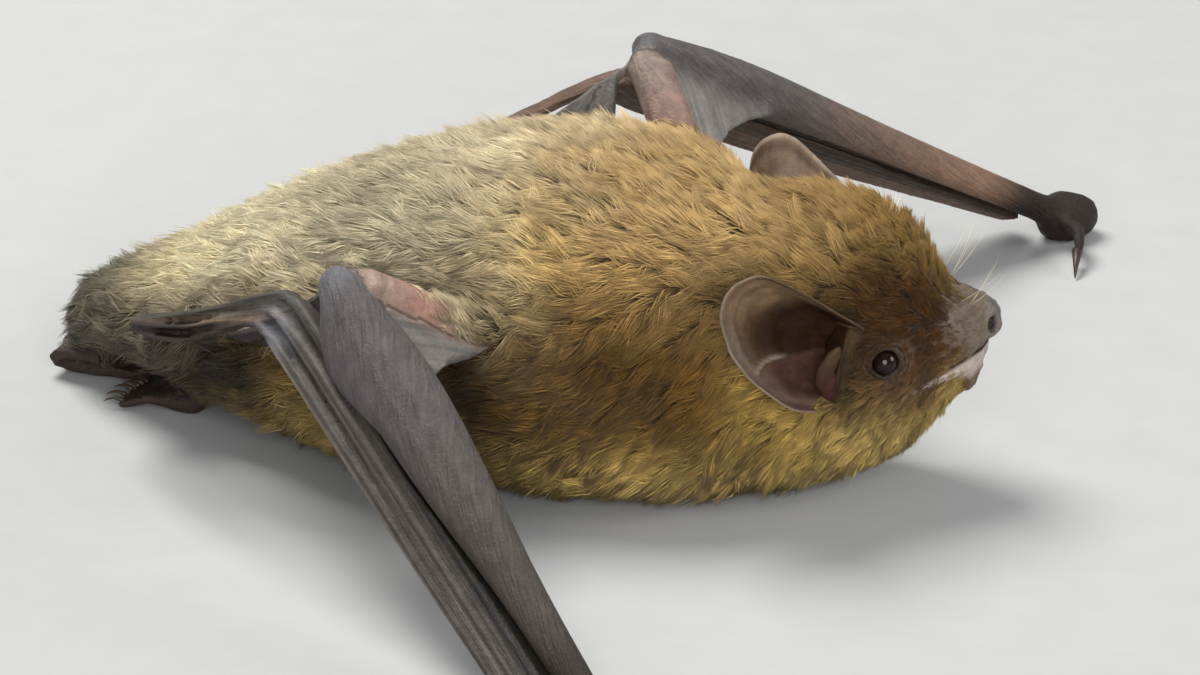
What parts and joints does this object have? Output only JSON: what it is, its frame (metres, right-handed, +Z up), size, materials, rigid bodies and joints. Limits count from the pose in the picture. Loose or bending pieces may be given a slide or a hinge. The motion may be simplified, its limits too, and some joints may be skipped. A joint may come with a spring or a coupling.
{
  "type": "common pipistrelle bat, life-size still model",
  "caption": "Small bat crouched on its belly, wings folded with raised elbows, wrists and thumbs on the floor, head turned slightly left.",
  "frame": {"origin": "on the floor, under the middle of the bat's box", "axes": "+X towards the nose, +Y to the bat's left, +Z up; the belly, wrists, thumbs and feet rest at z = 0"},
  "size_m": [0.0476, 0.0684, 0.0161],
  "materials": {
    "coat": "soft golden-brown fur",
    "face_skin": "dark bare skin, slightly moist at the lips",
    "ear_skin": "thin dark-brown skin",
    "wing_skin": "wrinkled grey-brown skin",
    "membrane": "thin folded dark skin",
    "eye": "wet black",
    "claw": "smooth dark-brown horn"
  },
  "bodies": {
    "root": {"trunk": "coat", "neck": "coat", "head": "coat", "muzzle": "face_skin", "jaw": "face_skin", "ear_left": "ear_skin", "ear_right": "ear_skin", "tragus_left": "ear_skin", "tragus_right": "ear_skin", "eye_left": "eye", "eye_right": "eye", "upper_arm_left": "wing_skin", "upper_arm_right": "wing_skin", "forearm_left": "wing_skin", "forearm_right": "wing_skin", "hand_left": "membrane", "hand_right": "membrane", "thumb_left": "membrane", "thumb_claw_left": "claw", "thumb_right": "membrane", "thumb_claw_right": "claw", "digit_3_left": "membrane", "digit_3_right": "membrane", "digit_4_left": "membrane", "digit_4_right": "membrane", "digit_5_left": "membrane", "digit_5_right": "membrane", "folded_membrane_left": "membrane", "folded_membrane_right": "membrane", "web_left": "membrane", "web_right": "membrane", "flank_membrane_left": "membrane", "flank_membrane_right": "membrane", "thigh_left": "wing_skin", "thigh_right": "wing_skin", "shin_left": "wing_skin", "shin_right": "wing_skin", "foot_left": "wing_skin", "foot_right": "wing_skin", "tail": "wing_skin", "tail_membrane_left": "membrane", "tail_membrane_right": "membrane"}
  },
  "joints": []
}
